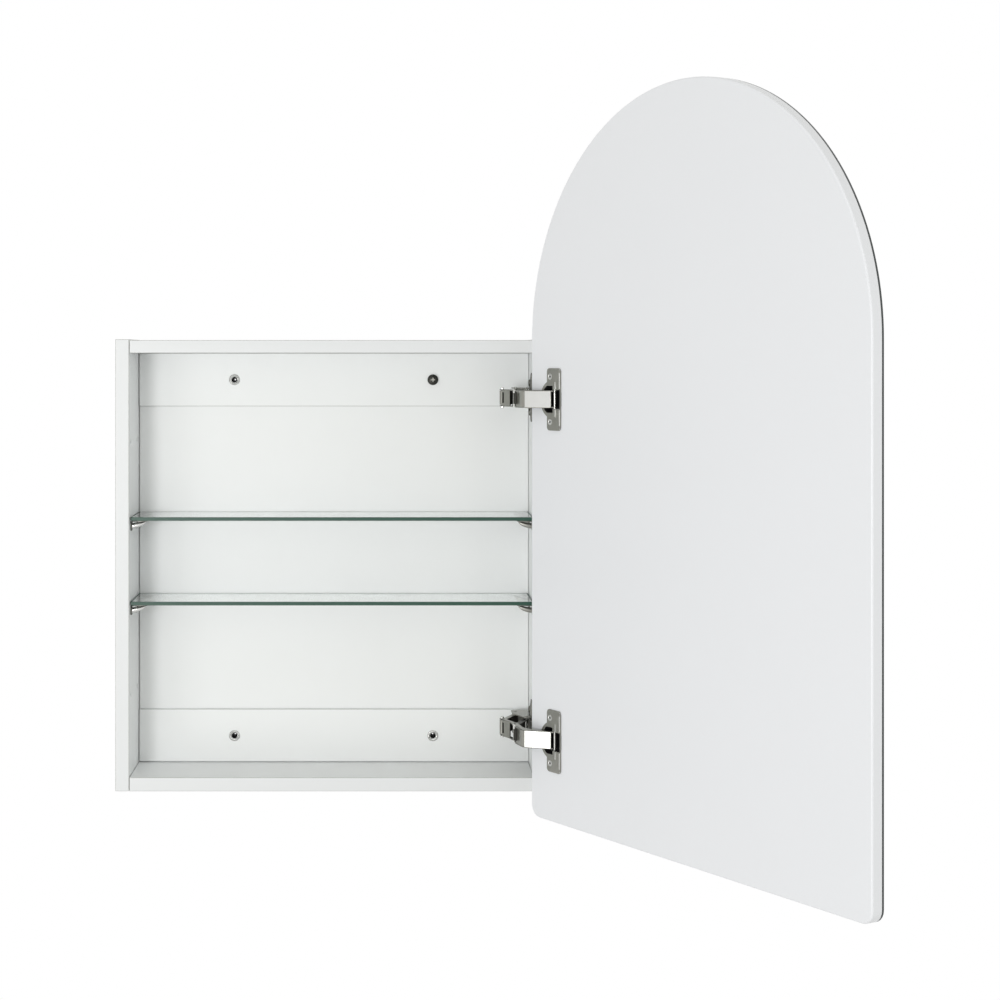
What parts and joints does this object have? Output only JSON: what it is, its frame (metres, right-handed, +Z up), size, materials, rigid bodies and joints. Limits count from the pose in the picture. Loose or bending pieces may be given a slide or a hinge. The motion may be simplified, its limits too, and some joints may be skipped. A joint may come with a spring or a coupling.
{
  "type": "medicine cabinet",
  "caption": "Wall-hung medicine cabinet with an arched mirror door on concealed cup hinges, glass shelves on pin supports, and hanging rails for the wall screws.",
  "frame": {"origin": "on the wall plane, in the middle of the back face of the top hanging rail, level with its screw holes", "axes": "+X to the viewer's right, where the hinges are; +Y into the wall; +Z up; the door opens towards -Y"},
  "size_m": [0.7267, 0.5643, 0.762],
  "materials": {
    "melamine": "white melamine-faced board, satin",
    "door_lacquer": "white lacquer, satin",
    "mirror": "silvered glass",
    "shelf_glass": "clear float glass with polished green edges",
    "nickel": "nickel plate, satin",
    "bright_nickel": "nickel plate, bright"
  },
  "bodies": {
    "root": {"back_panel": "melamine", "bottom_panel": "melamine", "bottom_rail": "melamine", "glass_shelf_lower": "shelf_glass", "glass_shelf_upper": "shelf_glass", "hinge_bottom_arm": "bright_nickel", "hinge_bottom_arm_pin_front": "bright_nickel", "hinge_bottom_arm_pin_rear": "bright_nickel", "hinge_bottom_depth_adjuster": "bright_nickel", "hinge_bottom_plate": "nickel", "hinge_bottom_plate_screw_lower": "nickel", "hinge_bottom_plate_screw_upper": "nickel", "hinge_bottom_side_adjuster": "bright_nickel", "hinge_top_arm": "bright_nickel", "hinge_top_arm_pin_front": "bright_nickel", "hinge_top_arm_pin_rear": "bright_nickel", "hinge_top_depth_adjuster": "bright_nickel", "hinge_top_plate": "nickel", "hinge_top_plate_screw_lower": "nickel", "hinge_top_plate_screw_upper": "nickel", "hinge_top_side_adjuster": "bright_nickel", "shelf_support_lower_left_front": "nickel", "shelf_support_lower_left_rear": "nickel", "shelf_support_lower_right_front": "nickel", "shelf_support_lower_right_rear": "nickel", "shelf_support_upper_left_front": "nickel", "shelf_support_upper_left_rear": "nickel", "shelf_support_upper_right_front": "nickel", "shelf_support_upper_right_rear": "nickel", "side_panel_left": "melamine", "side_panel_right": "melamine", "top_panel": "melamine", "top_rail": "melamine", "wall_ferrule_lower_left": "bright_nickel", "wall_ferrule_lower_right": "bright_nickel", "wall_ferrule_upper_left": "bright_nickel", "wall_ferrule_upper_right": "bright_nickel", "wall_screw": "nickel"},
    "swing_links": {"hinge_bottom_swing_link": "nickel", "hinge_top_swing_link": "nickel"},
    "control_links": {"hinge_bottom_control_link": "nickel", "hinge_top_control_link": "nickel"},
    "bow_links": {"hinge_bottom_bow_link": "bright_nickel", "hinge_bottom_bow_pin": "bright_nickel", "hinge_top_bow_link": "bright_nickel", "hinge_top_bow_pin": "bright_nickel"},
    "door": {"door_board": "door_lacquer", "hinge_bottom_cup": "nickel", "hinge_bottom_cup_pin": "bright_nickel", "hinge_bottom_cup_screw_lower": "bright_nickel", "hinge_bottom_cup_screw_upper": "bright_nickel", "hinge_top_cup": "nickel", "hinge_top_cup_pin": "bright_nickel", "hinge_top_cup_screw_lower": "bright_nickel", "hinge_top_cup_screw_upper": "bright_nickel", "mirror_glass": "mirror"}
  },
  "joints": [
    {"name": "swing_link_turn", "type": "hinge", "parent": "root", "child": "swing_links", "pos_m": [0.2132, -0.0769, -0.2], "axis": [0, 0, -1], "range_deg": [0, 102]},
    {"name": "bow_link_turn", "type": "hinge", "parent": "swing_links", "child": "bow_links", "pos_m": [0.19841, -0.11409, -0.2], "axis": [0, 0, -1], "range_deg": [-97.5, 0]},
    {"name": "cup_turn", "type": "hinge", "parent": "bow_links", "child": "door", "pos_m": [0.23791, -0.16224, -0.2], "axis": [0, 0, -1], "range_deg": [0, 116.8]},
    {"name": "control_link_turn", "type": "hinge", "parent": "root", "child": "control_links", "pos_m": [0.2035, -0.0444, -0.2], "axis": [0, 0, -1], "range_deg": [0, 101.3]}
  ],
  "couplings": [
    {"joint": "bow_link_turn", "follows": "swing_link_turn", "ratio": -0.95588},
    {"joint": "cup_turn", "follows": "swing_link_turn", "ratio": 1.1451},
    {"joint": "control_link_turn", "follows": "swing_link_turn", "ratio": 0.99314}
  ]
}
